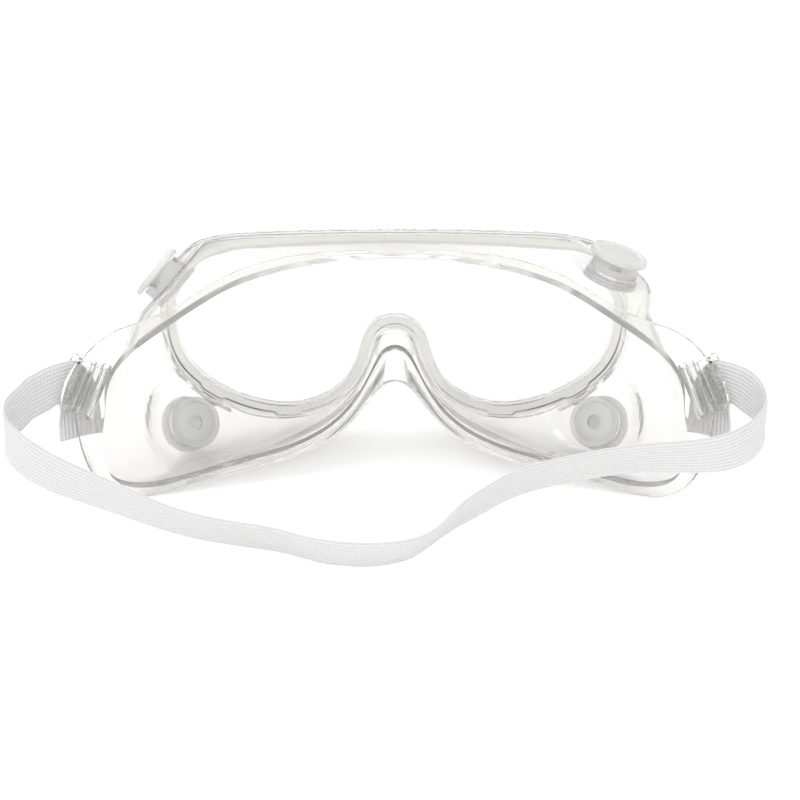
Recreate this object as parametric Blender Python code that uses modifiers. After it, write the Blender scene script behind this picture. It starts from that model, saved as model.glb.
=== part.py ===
"""Splash goggles: a soft clear hood, a clear lens, four capped vents, two strap clips and an elastic headband.

X runs across the face, +Y points forwards out of the lens, +Z is up, and Z = 0 is the table.
The hood is drawn about its plane of symmetry, and main() then moves every piece by ORIGIN_SHIFT,
which puts the origin under the middle of the whole object.
"""

import math

import bmesh
import bpy
import numpy as np
from mathutils import Matrix, Vector

MM = 0.001

# Lens and the rim that grips it
LENS_THICKNESS = 2.0 * MM
LENS_FRONT_Y = 25.0 * MM
LENS_BEND_RADIUS = 300.0 * MM
LENS_PANEL_STEP = 8.0 * MM
RIM_OVERLAP = 3.2 * MM
RIM_OUTSIDE = 1.7 * MM
RIM_FRONT = 2.8 * MM
RIM_BACK = 3.4 * MM
FIT_GAP = 0.3 * MM
TAB_LENGTH = 6.0 * MM
TAB_REACH = 1.2 * MM
TAB_STATIONS = (9.4, 11.8)

# Hood wall and face flange
WALL = 1.6 * MM
WALL_FLOOR = 2.0 * MM
FLANGE_EDGE = 1.1 * MM
LOFT_STATIONS = 88
WALL_STEPS = 9

# One row for each station of the right half, from the middle of the brow to the nose:
# lens edge (x, z), fold of the face flange (x, y, z), edge of the flange (x, y, z), side bulge, in mm.
HALF_RAILS = (
    ((0, 63.8), (0, -5, 65.6), (0, -5.5, 68.2), 0),
    ((20, 63.8), (18, -5.3, 64.6), (19, -5.8, 68), 0),
    ((38, 63.8), (34, -8.3, 62.4), (34, -8.5, 66.8), 0),
    ((50, 63.7), (48, -13, 58.8), (49, -13.5, 62.8), 0.5),
    ((61, 61.3), (60, -19, 52.8), (60, -18.5, 57), 2),
    ((67.6, 53.5), (70, -24.5, 47.2), (71.5, -24, 50.8), 3),
    ((69.8, 43), (77, -28, 42.4), (82, -30.5, 47.6), 2),
    ((69.2, 32.5), (81.3, -30.8, 36), (89, -35.6, 43), 1),
    ((65.8, 24), (82, -31.4, 27), (89.4, -35.8, 29), 1),
    ((60, 17.6), (84, -33.6, 18), (87.8, -36.3, 16.5), 3.5),
    ((52, 12), (81, -31.2, 8.5), (83.8, -33.3, 6), 7),
    ((42, 7.9), (73.5, -25.5, 4.2), (75.5, -26.5, -0.6), 5),
    ((31, 6.6), (60, -20.3, 5.2), (60, -22, 2.3), 1.5),
    ((21.5, 9.2), (44, -14.5, 7.6), (44, -16.5, 4.6), 0.5),
    ((13.8, 14.6), (29, -8.3, 9.8), (29.5, -11.5, 6.8), 0),
    ((9.9, 21.2), (18, -2.2, 14.2), (19, -6.8, 10.6), 0),
    ((7.6, 27.8), (9.5, 5, 22.6), (11.3, -3.5, 17.2), 0),
    ((6.2, 33), (5.6, 8.8, 30), (6.2, -0.7, 23.8), 0),
    ((3.2, 35.6), (3.9, 10, 33.9), (2.8, 0.8, 26.2), 0),
    ((0, 35.8), (0, 10.5, 34.8), (0, 1, 26.4), 0),
)

# Vents: where the inner face of the hood is pierced, and the way each vent points
VENTS = (
    ("upper_left", (-65.5, 6.0, 54.1), (-0.75, 0.10, 0.62)),
    ("upper_right", (63.8, 3.9, 57.9), (0.31, -0.05, 0.95)),
    ("lower_left", (-61.2, 5.0, 10.67), (-0.48, 0.78, -0.40)),
    ("lower_right", (61.2, 5.0, 10.67), (0.48, 0.78, -0.40)),
)
VENT_FLANGE_RADIUS = 7.8 * MM
VENT_FLANGE = 1.2 * MM
VENT_SEAT_GAP = 0.6 * MM
VENT_NECK_RADIUS = 7.0 * MM
VENT_BORE_RADIUS = 5.6 * MM
VENT_AIR_RADIUS = 2.2 * MM
VENT_NECK_TOP = 5.4 * MM
VENT_NOTCH = 1.8 * MM
VENT_SEAT_RADIUS = 10.4 * MM
VENT_SEAT_BLEND = 15.0 * MM
CAP_RADIUS = 8.6 * MM
CAP_THICKNESS = 2.0 * MM
CAP_PLUG_RADIUS = 5.1 * MM
CAP_PLUG_DEPTH = 2.4 * MM
TURN_STEPS = 32

# Clip hinge: the rail in the right-hand ear, mirrored for the left
RAIL_MIDDLE = (85.45, -32.45, 36.1)
RAIL_TILT = math.radians(26.5)
PLATE_TURN = math.radians(31.0)
RAIL_WIDTH = 2.2 * MM
SLOT_WIDTH = 2.4 * MM
SLOT_LENGTH = 16.4 * MM
CLIP_LENGTH = 15.0 * MM
HOOK_INNER = 2.15 * MM
HOOK_OUTER = 3.0 * MM
CLIP_THICKNESS = 1.8 * MM
CLIP_REACH = 6.9 * MM
STRAP_WINDOW = (3.2 * MM, 5.6 * MM)
STRAP_WINDOW_LENGTH = 12.6 * MM
KEEPER_BAR = (5.5 * MM, 7.0 * MM)
KEEPER_DEPTH = (3.15 * MM, 4.35 * MM)
KEEPER_POST = (6.9 * MM, 7.9 * MM)

# Elastic headband: middle of the band (x, y, z) in mm, lean of its width from upright
# and slant of its width along the band, in degrees, from the left clip to the right clip
BAND_WIDTH = 12.3 * MM
BAND_THICKNESS = 1.2 * MM
BAND_STEPS = 3
BAND_COLUMNS = 6
BAND_ROUTE = (
    ((-94.7, -35.8, 38.5), 3, -20),
    ((-98.0, -38.0, 37.4), 2, -8),
    ((-100.9, -40.9, 36.5), 1, 0),
    ((-102.5, -44.0, 35.5), 1, 0),
    ((-105.2, -48.6, 33.4), 0, 0),
    ((-105.0, -54.2, 30.8), 0, 0),
    ((-100.3, -58.5, 27.2), 4, 0),
    ((-93.2, -60.8, 23.4), 10, 0),
    ((-84.5, -62.0, 19.9), 18, 0),
    ((-74.5, -62.6, 15.9), 25, 0),
    ((-65.5, -63.0, 12.0), 30, 0),
    ((-54.8, -63.3, 8.4), 32, 0),
    ((-42.5, -64.0, 6.3), 32, 0),
    ((-31.5, -67.0, 5.9), 32, 0),
    ((-21.1, -73.4, 5.9), 32, 0),
    ((-10.5, -75.8, 5.8), 33, 0),
    ((-1.0, -74.8, 5.7), 35, 0),
    ((6.2, -70.7, 5.7), 36, 0),
    ((11.9, -63.6, 6.6), 34, 0),
    ((17.4, -58.4, 9.0), 30, 0),
    ((23.8, -55.2, 11.8), 28, 0),
    ((30.4, -52.8, 14.8), 30, 0),
    ((37.0, -51.6, 17.1), 30, 0),
    ((49.0, -51.0, 19.8), 30, 0),
    ((61.0, -51.6, 22.4), 30, 0),
    ((71.5, -53.0, 24.0), 28, 0),
    ((82.0, -54.8, 25.0), 20, 0),
    ((90.6, -55.4, 26.6), 12, 0),
    ((97.0, -53.6, 29.4), 5, 0),
    ((100.8, -49.0, 32.2), 0, 0),
    ((100.8, -43.2, 34.8), 0, 0),
    ((98.2, -38.2, 37.1), 2, 8),
    ((94.7, -35.8, 38.5), 3, 20),
)

# End of the band in the clip: it enters under the keeper bar, then turns down into a short hanging tail
BAND_ENTRY = 6.6 * MM
BAND_DEPTH = (2.1 * MM, 4.1 * MM)
TAIL_TURN = math.radians(86.0)
TAIL_TURN_STEPS = 6
TAIL_PIVOT_DROP = 1.2 * MM
TAIL_LENGTH = 13.0 * MM
TAIL_STEPS = 3

TABLE_TRIM = 0.02 * MM

# From the drawing's origin to the middle of the whole object, straight below it
ORIGIN_SHIFT = (2.25 * MM, 25.95 * MM, 0.0)


def clear_scene():
    for old in list(bpy.data.objects):
        bpy.data.objects.remove(old, do_unlink=True)


def new_collection(name):
    made = bpy.data.collections.new(name)
    bpy.context.scene.collection.children.link(made)
    return made


def plain_material(name, colour, roughness, alpha=1.0):
    made = bpy.data.materials.new(name)
    made.use_nodes = True
    shader = made.node_tree.nodes["Principled BSDF"]
    shader.inputs["Base Color"].default_value = (*colour, 1.0)
    shader.inputs["Roughness"].default_value = roughness
    shader.inputs["Metallic"].default_value = 0.0
    shader.inputs["Alpha"].default_value = alpha
    made.diffuse_color = (*colour, alpha)
    return made


def object_from_bmesh(bm, name, collection, material=None):
    """Closes the bmesh into a named object of the collection, with its faces pointing out."""
    bmesh.ops.recalc_face_normals(bm, faces=bm.faces)
    mesh = bpy.data.meshes.new(name)
    bm.to_mesh(mesh)
    bm.free()
    if material:
        mesh.materials.append(material)
    made = bpy.data.objects.new(name, mesh)
    collection.objects.link(made)
    return made


def cutter_from_bmesh(bm, name, cutters):
    made = object_from_bmesh(bm, name, cutters)
    made.hide_render = True
    made.display_type = "WIRE"
    return made


def add_boolean(target, cutter, operation="DIFFERENCE"):
    step = target.modifiers.new(cutter.name, "BOOLEAN")
    step.operation = operation
    step.solver = "EXACT"
    step.object = cutter


def closed_rail(points):
    """The right half's points continued round the left half, which mirrors them in X."""
    left = [(-p[0],) + tuple(p[1:]) for p in points[-2:0:-1]]
    return np.array(list(points) + left, float)


def rail_at(rail, stations):
    """Points of a smooth closed curve through the rail's points, at fractional station numbers."""
    count = len(rail)
    ahead = np.roll(rail, -1, axis=0)
    step = np.linalg.norm(ahead - rail, axis=1) + 1e-9
    slope = (ahead - rail) / step[:, None]
    before = np.roll(step, 1)
    slope_before = np.roll(slope, 1, axis=0)
    tangent = slope * before[:, None] + slope_before * step[:, None]
    tangent /= (before + step)[:, None]
    first = np.floor(stations).astype(int) % count
    second = (first + 1) % count
    f = (stations - np.floor(stations))[:, None]
    h = step[first][:, None]
    start = rail[first] * (2 * f**3 - 3 * f**2 + 1) + tangent[first] * h * (f**3 - 2 * f**2 + f)
    end = rail[second] * (3 * f**2 - 2 * f**3) + tangent[second] * h * (f**3 - f**2)
    return start + end


def even_stations(count):
    """Station numbers spaced evenly by the mean length of the lens rail and the fold rail."""
    fine = np.linspace(0, len(LENS_RAIL), 40 * len(LENS_RAIL) + 1)
    lens = np.linalg.norm(np.diff(rail_at(LENS_RAIL, fine), axis=0), axis=1)
    fold = np.linalg.norm(np.diff(rail_at(FOLD_RAIL, fine), axis=0), axis=1)
    walked = np.concatenate([[0], np.cumsum(lens + fold)])
    return np.interp(np.arange(count) * walked[-1] / count, walked, fine)


def lens_front(x):
    """The forward position of the lens's middle plane, which is bent round an upright cylinder."""
    return LENS_FRONT_Y - x**2 / (2 * LENS_BEND_RADIUS)


def unit(vectors):
    return vectors / np.linalg.norm(vectors, axis=-1, keepdims=True)


def lens_outward(stations):
    """The outward direction of the lens outline in the XZ plane, at each station."""
    ahead = rail_at(LENS_RAIL, stations + 0.02)
    behind = rail_at(LENS_RAIL, stations - 0.02)
    run = unit(ahead - behind)
    return np.stack([-run[:, 1], np.zeros(len(run)), run[:, 0]], axis=1)


def rim_points(stations, out, forward):
    """A rail of the rim, so far outside the lens edge and so far forward of the lens's middle."""
    edge = rail_at(LENS_RAIL, stations)
    flat = np.stack([edge[:, 0], np.zeros(len(edge)), edge[:, 1]], axis=1)
    moved = flat + lens_outward(stations) * out
    moved[:, 1] = lens_front(moved[:, 0]) + forward
    return moved


def wall_points(stations):
    """The hood's inner face as WALL_STEPS + 1 rails, from the rim to the fold of the flange."""
    start = rim_points(stations, 0.2 * MM, -RIM_BACK)
    fold = rail_at(FOLD_RAIL, stations)
    outward = lens_outward(stations)
    bulge = rail_at(BULGE_RAIL, stations)
    depth = (start[:, 1] - fold[:, 1])[:, None]
    back = np.array([0.0, -1.0, 0.0])
    first = start + back * 0.30 * depth + outward * 1.2 * bulge
    second = start + (fold - start) * 0.62 + outward * 1.5 * bulge
    rails = []
    for v in np.linspace(0, 1, WALL_STEPS + 1):
        u = 1 - v
        rails.append(u**3 * start + 3 * u * u * v * first + 3 * u * v * v * second + v**3 * fold)
    return np.array(rails)


def seat_vents(rails):
    """Flattens the wall round each vent, so that the vent's flange has a flat seat."""
    for _, middle, axis in VENTS:
        centre = np.array(middle) * MM
        way = unit(np.array(axis))
        apart = rails - centre
        height = apart @ way
        radius = np.linalg.norm(apart - height[..., None] * way, axis=-1)
        blend = (VENT_SEAT_BLEND - radius) / (VENT_SEAT_BLEND - VENT_SEAT_RADIUS)
        blend = np.clip(blend, 0, 1)
        blend = blend**2 * (3 - 2 * blend) * (np.abs(height) < 9 * MM)
        rails[1:-1] -= (height * blend)[1:-1, :, None] * way
    rails[1:-1, :, 2] = np.maximum(rails[1:-1, :, 2], WALL_FLOOR)
    return rails


def surface_normals(rails, outward):
    """Unit normals of the wall grid, pointing out of the hood."""
    along = np.roll(rails, -1, axis=1) - np.roll(rails, 1, axis=1)
    across = np.gradient(rails, axis=0)
    normal = unit(np.cross(along, across))
    return normal * np.sign((normal * outward).sum(axis=-1, keepdims=True))


def frame_rails():
    """Closed rails round the section of the frame: rim, outer wall, flange, inner wall, groove."""
    stations = even_stations(LOFT_STATIONS)
    groove = LENS_THICKNESS / 2 + FIT_GAP
    inner = seat_vents(wall_points(stations))
    fold = inner[-1]
    edge = rail_at(EDGE_RAIL, stations)
    normal = surface_normals(inner, lens_outward(stations))
    outer = inner + normal * WALL
    along = np.roll(fold, -1, axis=0) - np.roll(fold, 1, axis=0)
    forward = unit(np.cross(along, edge - fold))
    forward *= np.sign(forward[:, 1:2])
    root = fold + normal[-1] * WALL + forward * WALL
    rails = [
        rim_points(stations, -RIM_OVERLAP, groove),
        rim_points(stations, -RIM_OVERLAP, RIM_FRONT - 0.5 * MM),
        rim_points(stations, -RIM_OVERLAP + 0.5 * MM, RIM_FRONT),
        rim_points(stations, RIM_OUTSIDE - 0.6 * MM, RIM_FRONT),
        rim_points(stations, RIM_OUTSIDE, RIM_FRONT - 0.6 * MM),
        rim_points(stations, RIM_OUTSIDE, -RIM_BACK + 0.8 * MM),
        *outer[1:-1],
        root,
        edge + forward * FLANGE_EDGE,
        edge,
        *inner[:0:-1],
        rim_points(stations, 0.2 * MM, -RIM_BACK),
        rim_points(stations, -RIM_OVERLAP, -RIM_FRONT),
        rim_points(stations, -RIM_OVERLAP, -groove),
        rim_points(stations, FIT_GAP, -groove),
        rim_points(stations, FIT_GAP, groove),
    ]
    return rails


def loft(rails):
    """A closed tube of quads through closed rails that all have the same number of points."""
    bm = bmesh.new()
    rows = [[bm.verts.new(p) for p in rail] for rail in rails]
    for here, there in zip(rows, rows[1:] + rows[:1]):
        for i in range(len(here)):
            j = (i + 1) % len(here)
            bm.faces.new((here[i], here[j], there[j], there[i]))
    return bm


def oriented_box(size, frame):
    bm = bmesh.new()
    bmesh.ops.create_cube(bm, size=1.0, matrix=frame @ Matrix.Diagonal((*size, 1.0)))
    return bm


def axes_frame(origin, x_axis, y_axis, z_axis):
    """The matrix that takes local X, Y and Z to three given axes at an origin."""
    turn = Matrix((x_axis, y_axis, z_axis)).transposed().to_4x4()
    return Matrix.Translation(origin) @ turn


def tab_frames():
    """A frame for each lens tab: X along the lens edge, Y through the lens, Z outwards."""
    last = len(LENS_RAIL)
    stations = np.array([*TAB_STATIONS, *[last - s for s in TAB_STATIONS]])
    middles = rim_points(stations, 0.0, 0.0)
    outs = lens_outward(stations)
    frames = []
    for middle, out in zip(middles, outs):
        z_axis = Vector(out).normalized()
        slope = -middle[0] / LENS_BEND_RADIUS
        x_axis = Vector((z_axis.z, slope * z_axis.z, -z_axis.x)).normalized()
        frames.append(axes_frame(Vector(middle), x_axis, z_axis.cross(x_axis), z_axis))
    return frames


def tab_box(frame, spare):
    reach = 2 * (TAB_REACH + spare)
    size = (TAB_LENGTH + 2 * spare, LENS_THICKNESS * 0.7 + 2 * spare, reach)
    return oriented_box(size, frame)


def make_lens(parts, cutters, material):
    """A flat outline, cut into upright panels and bent round the cylinder, with four edge tabs."""
    outline = rail_at(LENS_RAIL, even_stations(LOFT_STATIONS))
    half = LENS_THICKNESS / 2
    bm = bmesh.new()
    face = bm.faces.new([bm.verts.new((x, -half, z)) for x, z in outline])
    grown = bmesh.ops.extrude_face_region(bm, geom=[face])["geom"]
    moved = [v for v in grown if isinstance(v, bmesh.types.BMVert)]
    bmesh.ops.translate(bm, verts=moved, vec=(0, 2 * half, 0))
    reach = int(max(outline[:, 0]) / LENS_PANEL_STEP)
    for step in range(-reach, reach + 1):
        plane = (step * LENS_PANEL_STEP, 0, 0)
        everything = bm.verts[:] + bm.edges[:] + bm.faces[:]
        bmesh.ops.bisect_plane(bm, geom=everything, dist=1e-7, plane_co=plane, plane_no=(1, 0, 0))
    bmesh.ops.triangulate(bm, faces=bm.faces)
    for v in bm.verts:
        v.co.y += lens_front(v.co.x)
    lens = object_from_bmesh(bm, "lens", parts, material)
    for number, frame in enumerate(tab_frames()):
        tab = cutter_from_bmesh(tab_box(frame, 0.0), f"lens_tab_{number}", cutters)
        add_boolean(lens, tab, "UNION")
    return lens


def vent_frame(middle, axis):
    """Local Z along the vent's axis, out of the hood, from the wall's inner face."""
    z_axis = Vector(axis).normalized()
    x_axis = Vector((0, 0, 1)).cross(z_axis).normalized()
    return axes_frame(Vector(middle) * MM, x_axis, z_axis.cross(x_axis), z_axis)


def cylinder(radius, low, high, frame, steps=TURN_STEPS):
    bm = bmesh.new()
    place = frame @ Matrix.Translation((0, 0, (low + high) / 2))
    bmesh.ops.create_cone(bm, cap_ends=True, segments=steps, radius1=radius, radius2=radius,
                          depth=high - low, matrix=place)
    return bm


def turned(name, profile, frame, collection, material):
    """A closed ring or disc turned from an (r, z) profile that runs down its outer side."""
    mesh = bpy.data.meshes.new(name)
    verts = [(r, 0, z) for r, z in profile]
    loop = profile[0][0] > 0 and profile[-1][0] > 0
    edges = [(i, i + 1) for i in range(len(verts) - 1)]
    if loop:
        edges.append((len(verts) - 1, 0))
    mesh.from_pydata(verts, edges, [])
    mesh.materials.append(material)
    made = bpy.data.objects.new(name, mesh)
    collection.objects.link(made)
    made.matrix_world = frame
    screw = made.modifiers.new("turn", "SCREW")
    screw.axis = "Z"
    screw.steps = TURN_STEPS
    screw.render_steps = TURN_STEPS
    screw.use_merge_vertices = True
    screw.merge_threshold = 0.00001
    screw.use_smooth_shade = True
    return made


def make_vent(side, middle, axis, parts, cutters, material):
    """A snap-in vent body with a small air hole, and the splash cap plugged into it."""
    frame = vent_frame(middle, axis)
    seat = -VENT_SEAT_GAP
    back = seat - VENT_FLANGE
    body_profile = (
        (VENT_NECK_RADIUS, VENT_NECK_TOP),
        (VENT_NECK_RADIUS, seat),
        (VENT_FLANGE_RADIUS, seat),
        (VENT_FLANGE_RADIUS, back),
        (VENT_AIR_RADIUS, back),
        (VENT_AIR_RADIUS, seat),
        (VENT_BORE_RADIUS, seat),
        (VENT_BORE_RADIUS, VENT_NECK_TOP),
    )
    body = turned(f"vent_body_{side}", body_profile, frame, parts, material)
    wide = 3.2 * MM
    for number, size in enumerate(((wide, 4 * VENT_NECK_RADIUS), (4 * VENT_NECK_RADIUS, wide))):
        place = frame @ Matrix.Translation((0, 0, VENT_NECK_TOP))
        notch = oriented_box((*size, 2 * VENT_NOTCH), place)
        add_boolean(body, cutter_from_bmesh(notch, f"vent_notch_{side}_{number}", cutters))
    low = VENT_NECK_TOP + FIT_GAP
    top = low + CAP_THICKNESS
    cap_profile = (
        (0, top),
        (CAP_RADIUS - 0.8 * MM, top),
        (CAP_RADIUS, top - 0.8 * MM),
        (CAP_RADIUS, low),
        (CAP_PLUG_RADIUS, low),
        (CAP_PLUG_RADIUS, low - CAP_PLUG_DEPTH),
        (0, low - CAP_PLUG_DEPTH),
    )
    turned(f"vent_cap_{side}", cap_profile, frame, parts, material)


def clip_frame(side):
    """Local X out from the rail across the strap, Y out of the plate, Z up along the rail."""
    flat = Vector((math.cos(PLATE_TURN), -math.sin(PLATE_TURN), 0))
    up = Vector((0, 0, 1))
    rail = up * math.cos(RAIL_TILT) - flat * math.sin(RAIL_TILT)
    out = up * math.sin(RAIL_TILT) + flat * math.cos(RAIL_TILT)
    middle = Vector(RAIL_MIDDLE) * MM
    mirror = Vector((side, 1, 1))
    out, rail, middle = out * mirror, rail * mirror, middle * mirror
    return axes_frame(middle, out, rail.cross(out), rail)


def cut_ear(frame_body, side, name, cutters):
    """Opens the strap slot beside the rail and the notch outside it, leaving the rail."""
    place = clip_frame(side)
    deep = 12 * MM
    half_rail = RAIL_WIDTH / 2
    slot_middle = Matrix.Translation((-half_rail - SLOT_WIDTH / 2, 0, 0))
    slot = oriented_box((SLOT_WIDTH, deep, SLOT_LENGTH), place @ slot_middle)
    add_boolean(frame_body, cutter_from_bmesh(slot, f"ear_slot_{name}", cutters))
    wide = 12 * MM
    notch_middle = Matrix.Translation((half_rail + wide / 2, 0, 0))
    notch = oriented_box((wide, deep, SLOT_LENGTH), place @ notch_middle)
    add_boolean(frame_body, cutter_from_bmesh(notch, f"ear_notch_{name}", cutters))


def make_clip(side, name, parts, cutters, material):
    """A flat ladder buckle whose inner side curls round the rail as an open hook."""
    place = clip_frame(side)
    half = CLIP_THICKNESS / 2
    length = CLIP_LENGTH / 2
    inner = HOOK_INNER + 0.4 * MM
    bow = 0.9 * MM
    outline = [
        (inner, -length),
        (CLIP_REACH - 1.5 * MM, -length),
        (CLIP_REACH - 0.3 * MM, -length + 1.5 * MM),
        (CLIP_REACH + bow / 2, -length / 2),
        (CLIP_REACH + bow, 0),
        (CLIP_REACH + bow / 2, length / 2),
        (CLIP_REACH - 0.3 * MM, length - 1.5 * MM),
        (CLIP_REACH - 1.5 * MM, length),
        (inner, length),
    ]
    bm = bmesh.new()
    face = bm.faces.new([bm.verts.new((x, -half, z)) for x, z in outline])
    grown = bmesh.ops.extrude_face_region(bm, geom=[face])["geom"]
    moved = [v for v in grown if isinstance(v, bmesh.types.BMVert)]
    bmesh.ops.translate(bm, verts=moved, vec=(0, 2 * half, 0))
    clip = object_from_bmesh(bm, f"strap_clip_{name}", parts, material)
    clip.matrix_world = place
    hook = cutter_from_bmesh(hook_mesh(side), f"clip_hook_{name}", cutters)
    hook.matrix_world = place
    add_boolean(clip, hook, "UNION")
    add_keeper(clip, side, name, place, cutters)
    low, high = STRAP_WINDOW
    window_middle = Matrix.Translation(((low + high) / 2, 0, 0))
    window = oriented_box((high - low, 8 * half, STRAP_WINDOW_LENGTH), place @ window_middle)
    add_boolean(clip, cutter_from_bmesh(window, f"clip_window_{name}", cutters))
    return clip


def add_keeper(clip, side, name, place, cutters):
    """The keeper bar on the front of the clip, joined by a post at its top end and open below."""
    low, high = KEEPER_BAR
    across = Matrix.Translation(((low + high) / 2, 0, 0))
    near, far = KEEPER_DEPTH
    bar_bottom = -CLIP_LENGTH / 2
    bar_top = KEEPER_POST[1]
    bar_size = (high - low, far - near, bar_top - bar_bottom)
    bar_middle = Matrix.Translation((0, side * (near + far) / 2, (bar_top + bar_bottom) / 2))
    bar = oriented_box(bar_size, place @ across @ bar_middle)
    post_size = (high - low, far, KEEPER_POST[1] - KEEPER_POST[0])
    post_middle = Matrix.Translation((0, side * far / 2, sum(KEEPER_POST) / 2))
    post = oriented_box(post_size, place @ across @ post_middle)
    add_boolean(clip, cutter_from_bmesh(post, f"keeper_post_{name}", cutters), "UNION")
    add_boolean(clip, cutter_from_bmesh(bar, f"keeper_bar_{name}", cutters), "UNION")


def hook_mesh(side):
    """The hook's C section, open on the front outer quarter, drawn out along the rail."""
    steps = 9
    angles = [math.radians(a) for a in np.linspace(-6, 275, steps * 2)]
    outer = [(HOOK_OUTER * math.cos(a), HOOK_OUTER * math.sin(a)) for a in angles]
    inner = [(HOOK_INNER * math.cos(a), HOOK_INNER * math.sin(a)) for a in reversed(angles)]
    length = CLIP_LENGTH - 1.0 * MM
    bm = bmesh.new()
    face = bm.faces.new([bm.verts.new((x, -side * y, -length / 2)) for x, y in outer + inner])
    grown = bmesh.ops.extrude_face_region(bm, geom=[face])["geom"]
    moved = [v for v in grown if isinstance(v, bmesh.types.BMVert)]
    bmesh.ops.translate(bm, verts=moved, vec=(0, 0, length))
    return bm


def open_curve(points, samples):
    """Rows of a smooth open curve through the given rows (x, y, z, angles), samples to each stretch."""
    pts = np.array(points, float)
    step = np.linalg.norm(np.diff(pts[:, :3], axis=0), axis=1)
    slope = np.diff(pts, axis=0) / step[:, None]
    inner = slope[1:] * step[:-1, None] + slope[:-1] * step[1:, None]
    inner /= (step[:-1] + step[1:])[:, None]
    tangent = np.vstack([slope[:1], inner, slope[-1:]])
    out = []
    for i in range(len(step)):
        for f in np.arange(samples) / samples:
            start = pts[i] * (2 * f**3 - 3 * f**2 + 1) + tangent[i] * step[i] * (f**3 - 2 * f**2 + f)
            end = pts[i + 1] * (3 * f**2 - 2 * f**3) + tangent[i + 1] * step[i] * (f**3 - f**2)
            out.append(start + end)
    return np.array(out + [pts[-1]])


def band_end(side):
    """Sections of the band, each a row of points, from the clip's keeper bar to the cut end of its tail."""
    place = clip_frame(side)
    across = np.linspace(0, BAND_WIDTH, BAND_COLUMNS)
    down = np.array((-math.sin(RAIL_TILT), -math.cos(RAIL_TILT)))
    turns = np.append(np.linspace(RAIL_TILT, TAIL_TURN, TAIL_TURN_STEPS), [TAIL_TURN] * TAIL_STEPS)
    drops = np.linspace(0, TAIL_PIVOT_DROP, TAIL_TURN_STEPS)
    drops = np.append(drops, np.linspace(TAIL_PIVOT_DROP, TAIL_LENGTH, TAIL_STEPS + 1)[1:])
    sections = []
    for turn, drop in zip(turns - RAIL_TILT, drops):
        start = np.array((BAND_ENTRY, -BAND_WIDTH / 2)) + down * drop
        row = start + across[:, None] * np.array((-math.sin(turn), math.cos(turn)))
        sections.append([place @ Vector((x, side * band_depth(x), z)) for x, z in row])
    return sections


def band_depth(x):
    """How far in front of the clip's plate the band runs: close under the keeper, clear of the hook inboard."""
    near, far = BAND_DEPTH
    share = min(max((5.4 * MM - x) / (3.0 * MM), 0), 1)
    return near + (far - near) * share**2 * (3 - 2 * share)


def band_sections():
    """Every section of the band, from the left tail round the route to the right tail."""
    left = band_end(-1)
    right = band_end(1)
    ends = [np.mean([np.array(p) for p in end[0]], axis=0) for end in (left, right)]
    rows = [(*(np.array(p) * MM), math.radians(a), math.radians(b)) for p, a, b in BAND_ROUTE]
    line = [(*ends[0], 0.0, -RAIL_TILT), *rows, (*ends[1], 0.0, RAIL_TILT)]
    line = open_curve(line, BAND_STEPS)
    middle, lean, slant = line[:, :3], line[:, 3:4], line[:, 4:5]
    along = unit(np.gradient(middle, axis=0))
    up = np.array([0.0, 0.0, 1.0])
    upright = unit(up - (along @ up)[:, None] * along)
    side = np.cross(along, upright)
    wide = upright * np.cos(lean) + side * np.sin(lean)
    wide = wide * np.cos(slant) + along * np.sin(slant)
    across = np.linspace(-BAND_WIDTH / 2, BAND_WIDTH / 2, BAND_COLUMNS)
    between = middle[:, None] + wide[:, None] * across[:, None]
    return left[::-1] + list(between[1:-1]) + right


def make_headband(parts, material):
    """A flat woven band through its sections, with both tails."""
    middle = np.array([[tuple(p) for p in section] for section in band_sections()])
    along = np.gradient(middle, axis=0)
    across = np.gradient(middle, axis=1)
    thick = unit(np.cross(along, across)) * BAND_THICKNESS / 2
    rings = np.concatenate([middle + thick, (middle - thick)[:, ::-1]], axis=1)
    bm = bmesh.new()
    rows = [[bm.verts.new(p) for p in ring] for ring in rings]
    for here, there in zip(rows, rows[1:]):
        for i in range(len(here)):
            j = (i + 1) % len(here)
            bm.faces.new((here[i], here[j], there[j], there[i]))
    for row in (rows[0], rows[-1]):
        for i in range(BAND_COLUMNS - 1):
            bm.faces.new((row[i], row[i + 1], row[-i - 2], row[-i - 1]))
    return object_from_bmesh(bm, "headband", parts, material)


def make_frame_body(parts, cutters, material):
    """The one-piece soft frame: lofted, pierced for vents, tabs and clips, and flat where it stands."""
    body = object_from_bmesh(loft(frame_rails()), "frame_body", parts, material)
    for side, middle, axis in VENTS:
        hole = cylinder(VENT_NECK_RADIUS + FIT_GAP, -6 * MM, 6 * MM, vent_frame(middle, axis))
        add_boolean(body, cutter_from_bmesh(hole, f"vent_hole_{side}", cutters))
    for number, frame in enumerate(tab_frames()):
        pocket = cutter_from_bmesh(tab_box(frame, FIT_GAP), f"tab_pocket_{number}", cutters)
        add_boolean(body, pocket)
    cut_ear(body, 1, "right", cutters)
    cut_ear(body, -1, "left", cutters)
    below = oriented_box((0.4, 0.4, 0.02), Matrix.Translation((0, 0, -0.01 + TABLE_TRIM)))
    add_boolean(body, cutter_from_bmesh(below, "table_trim", cutters))
    return body


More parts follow.
